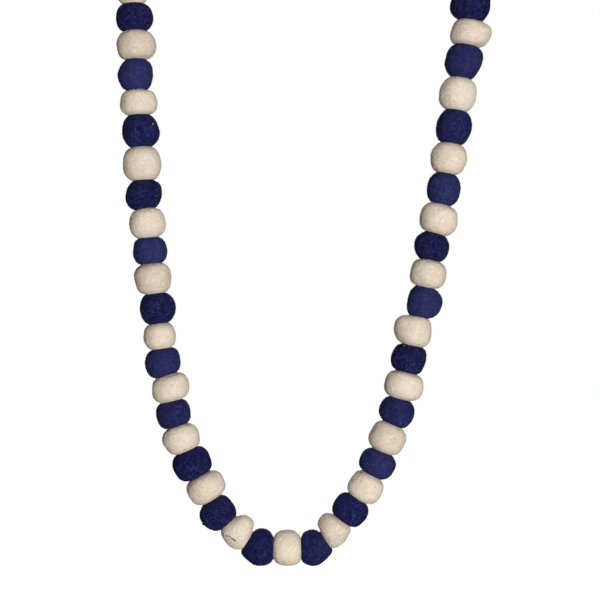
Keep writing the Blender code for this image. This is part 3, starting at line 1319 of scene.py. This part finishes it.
@dataclass(frozen=True)
class HangingLoop:
    """A loop of twisted cotton that ends in a wound stopper knot on the end ball."""

    node: str
    bearing: tuple[float, float]
    foot: tuple[float, float]
    lean: float
    inner_radius: float = 4.0 * MM
    thread_radius: float = 0.8 * MM
    leg_spacing: float = 1.15 * MM
    leg_in_knot: float = 1.6 * MM
    knot_radius: float = 2.7 * MM
    knot_height: float = 5.4 * MM
    knot_turns: float = 2.75
    knot_shoulder: float = 0.25
    knot_points: int = 90
    arc_points: int = 40
    plies: int = 3
    ply_swell: float = 1.08
    twist_pitch: float = 3.6 * MM
    step: float = 0.3 * MM
    fewest_steps: int = 8
    sides: int = 7

    def axis(self) -> np.ndarray:
        """The way from the foot of the knot up its middle."""
        turn = math.radians(self.lean)
        return np.array((math.sin(turn), 0.0, math.cos(turn)))

    def loop_line(self) -> np.ndarray:
        """The middle line of the strand: up one leg, over its bearing and down the other.

        Returns:
            Points along the line.
        """
        axis = self.axis()
        knot_top = np.array((self.foot[0], 0.0, self.foot[1])) + axis * self.knot_height
        middle = np.array((self.bearing[0], 0.0, self.bearing[1] - self.inner_radius))
        radius = self.inner_radius + self.thread_radius
        up = unit(middle - knot_top)
        side = np.array((up[2], 0.0, -up[0]))
        root = knot_top - axis * self.leg_in_knot
        distance = float(np.linalg.norm(middle - knot_top))
        taper = math.atan2(radius - self.leg_spacing, distance)
        turns = np.linspace(-taper, math.pi + taper, self.arc_points)[:, None]
        arc = middle + radius * (side * np.cos(turns) + up * np.sin(turns))
        return np.concatenate([[root + side * self.leg_spacing], arc, [root - side * self.leg_spacing]])

    def knot_line(self) -> np.ndarray:
        """The middle line of the strand as it winds round the knot.

        Returns:
            Points along the line.
        """
        axis = self.axis()
        side = np.array((axis[2], 0.0, -axis[0]))
        front = np.array((0.0, -1.0, 0.0))
        foot = np.array((self.foot[0], 0.0, self.foot[1]))
        share = np.linspace(0.0, 1.0, self.knot_points)[:, None]
        angle = share * self.knot_turns * math.tau
        ends = np.sin(share * math.pi) ** self.knot_shoulder
        radius = (self.knot_radius - self.thread_radius) * ends
        rise = self.thread_radius + share * (self.knot_height - 2 * self.thread_radius)
        return foot + axis * rise + radius * (side * np.cos(angle) + front * np.sin(angle))

    def evenly(self, line: np.ndarray) -> np.ndarray:
        """The same line with its points a step apart.

        Args:
            line: points along the line.

        Returns:
            Evenly spaced points along it.
        """
        run = np.concatenate([[0.0], np.cumsum(np.linalg.norm(np.diff(line, axis=0), axis=1))])
        marks = np.linspace(0.0, run[-1], max(self.fewest_steps, round(run[-1] / self.step)))
        return np.stack([np.interp(marks, run, line[:, axis]) for axis in range(3)], axis=1)

    def twisted(self, line: np.ndarray, upright: np.ndarray) -> tuple[np.ndarray, list]:
        """A strand of plies twisted round a line.

        Args:
            line: evenly spaced points.
            upright: a way that the line never follows.

        Returns:
            Vertices and faces.
        """
        along = unit(np.gradient(line, axis=0))
        across = unit(np.cross(along, upright))
        square = np.cross(across, along)
        run = np.arange(len(line)) * np.linalg.norm(line[1] - line[0])
        spread = math.sin(math.pi / self.plies)
        ply_radius = self.thread_radius * spread / (1 + spread)
        offset = self.thread_radius - ply_radius
        paths, ups = [], []
        for ply in range(self.plies):
            angle = (run / self.twist_pitch + ply / self.plies) * math.tau
            radial = across * np.cos(angle)[:, None] + square * np.sin(angle)[:, None]
            paths.append(line + radial * offset)
            ups.append(radial)
        radii = np.full((self.plies, len(line)), ply_radius * self.ply_swell)
        return swept(np.stack(paths), radii, np.stack(ups), self.sides)

    def build(self, finish: bpy.types.Material) -> bpy.types.Object:
        """Makes the loop and its knot in the place of their solid.

        Args:
            finish: the cotton's material.

        Returns:
            The new piece.
        """
        strand = self.twisted(self.evenly(self.loop_line()), np.array((0.0, 1.0, 0.0)))
        wound = self.twisted(self.evenly(self.knot_line()), self.axis())
        places = np.concatenate([strand[0], wound[0]])
        faces = strand[1] + [[corner + len(strand[0]) for corner in face] for face in wound[1]]
        piece = new_piece(f"{self.node}_cotton", places, faces, [finish])
        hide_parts(self.node)
        return piece


LOOPS = (
    HangingLoop("left_loop", (0.0, 0.0), (1.8 * MM, -33.7 * MM), -3.4),
    HangingLoop("right_loop", (241.0 * MM, 0.0), (234.0 * MM, -44.3 * MM), 9.1),
)


@dataclass(frozen=True)
class CaughtLint:
    """The foreign specks of lint, each a small squashed burr that lies on its ball."""

    flatness: float = 0.55
    roughness: float = 0.35
    frequency: float = 1.5
    levels: int = 2

    def build(
        self,
        balls: dict[int, FeltBall],
        pieces: dict[int, bpy.types.Object],
        camera: PhotoCamera,
        finishes: dict[Lint, bpy.types.Material],
    ) -> None:
        """Makes one piece for each speck.

        Args:
            balls: the balls by number.
            pieces: their felt surfaces by number.
            camera: the photograph's camera.
            finishes: the material of each sort of lint.
        """
        for index, speck in enumerate(SPECKS, start=1):
            mesh = pieces[speck.ball].data
            spot = balls[speck.ball].under(mesh, speck.pixel, camera)
            nearest = int(np.argmin(np.linalg.norm(corners(mesh) - np.array(spot), axis=1)))
            way = Vector(outward(mesh)[nearest])
            form = bmesh.new()
            bmesh.ops.create_icosphere(form, subdivisions=self.levels, radius=speck.size)
            turn = Vector((0.0, 0.0, 1.0)).rotation_difference(way).to_matrix()
            for vertex in form.verts:
                patch = vertex.co / speck.size * self.frequency + Vector((index, 0, 0))
                swell = 1 + self.roughness * noise.noise(patch)
                flat = Vector((vertex.co.x, vertex.co.y, vertex.co.z * self.flatness)) * swell
                vertex.co = spot + turn @ flat
            form.verts.ensure_lookup_table()
            places = np.array([vertex.co for vertex in form.verts])
            faces = [[vertex.index for vertex in face.verts] for face in form.faces]
            form.free()
            new_piece(f"{speck.lint.value}_{index}", places, faces, [finishes[speck.lint]])
            LOG.info("lint: speck %d on ball %d", index, speck.ball)


FELTS = (
    FeltFinish(
        wool=Wool.CREAM,
        body=(0.79, 0.685, 0.555),
        pale=(0.95, 0.87, 0.75),
        deep=(0.52, 0.42, 0.31),
        tint=(0.84, 0.66, 0.51),
        # painted shade inside the creases
        soil_and_painted_shade=(0.045, 0.034, 0.026),
        lock_share=0.60,
        hollow_share=0.50,
        tint_share=0.7,
        sheen=0.04,
    ),
    FeltFinish(
        wool=Wool.BLUE,
        body=(0.0060, 0.0068, 0.054),
        pale=(0.078, 0.083, 0.27),
        deep=(0.0022, 0.0022, 0.016),
        tint=(0.0085, 0.0115, 0.078),
        # painted shade inside the creases
        soil_and_painted_shade=(0.004, 0.004, 0.010),
        lock_share=0.42,
        hollow_share=0.6,
        tint_share=0.7,
        sheen=0.01,
    ),
)
FIBRES = {
    Wool.CREAM: (
        FibreFinish("cream_fibre", (0.80, 0.70, 0.57)),
        FibreFinish("pale_cream_fibre", (0.92, 0.85, 0.74)),
        FibreFinish("tan_fibre", (0.72, 0.59, 0.45)),
    ),
    Wool.BLUE: (
        FibreFinish("blue_fibre", (0.012, 0.014, 0.085)),
        FibreFinish("pale_blue_fibre", (0.050, 0.056, 0.23)),
        FibreFinish("deep_blue_fibre", (0.006, 0.006, 0.035)),
    ),
}
LINTS = {
    Lint.WHITE: FibreFinish(Lint.WHITE.value, (0.55, 0.55, 0.70)),
    Lint.BROWN: FibreFinish(Lint.BROWN.value, (0.22, 0.14, 0.09)),
}


def build_balls(camera: PhotoCamera) -> tuple[dict[int, FeltBall], dict[int, bpy.types.Object]]:
    """Makes every ball and its fibres.

    Args:
        camera: the photograph's camera.

    Returns:
        The balls and their felt surfaces, both by number.
    """
    felts = {finish.wool: finish.build() for finish in FELTS}
    shades = {wool: [finish.build() for finish in finishes] for wool, finishes in FIBRES.items()}
    nodes = [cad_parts[name] for name in sorted(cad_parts) if name.startswith("ball_")]
    trees = [search_tree(node.data) for node in nodes]
    coat = FibreCoat()
    balls, pieces = {}, {}
    for number, node in enumerate(nodes, start=1):
        wool = wool_of(number)
        beside = trees[max(0, number - 2) : number - 1] + trees[number : number + 1]
        ball = FeltBall(number, node, beside, felts[wool])
        piece = ball.build(camera)
        fibres = coat.build(ball, piece, shades[wool])
        balls[number], pieces[number] = ball, piece
        counts = [len(made.data.polygons) for made in (piece, fibres)]
        LOG.info("%s: %d faces, %d in its fibres", piece.name, *counts)
    return balls, pieces


def main() -> None:
    """Builds the garland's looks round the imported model."""
    noise.seed_set(NOISE_SEED)
    logging.basicConfig(level=logging.INFO, format="%(name)s: %(message)s")
    camera = PhotoCamera()
    camera.build()
    Studio().build()
    balls, pieces = build_balls(camera)
    cotton = CottonFinish().build()
    for loop in LOOPS:
        piece = loop.build(cotton)
        LOG.info("%s: %d faces", piece.name, len(piece.data.polygons))
    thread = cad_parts["thread"]
    thread.data.materials.clear()
    thread.data.materials.append(cotton)
    CaughtLint().build(balls, pieces, camera, {lint: finish.build() for lint, finish in LINTS.items()})


if __name__ == "__main__":
    main()
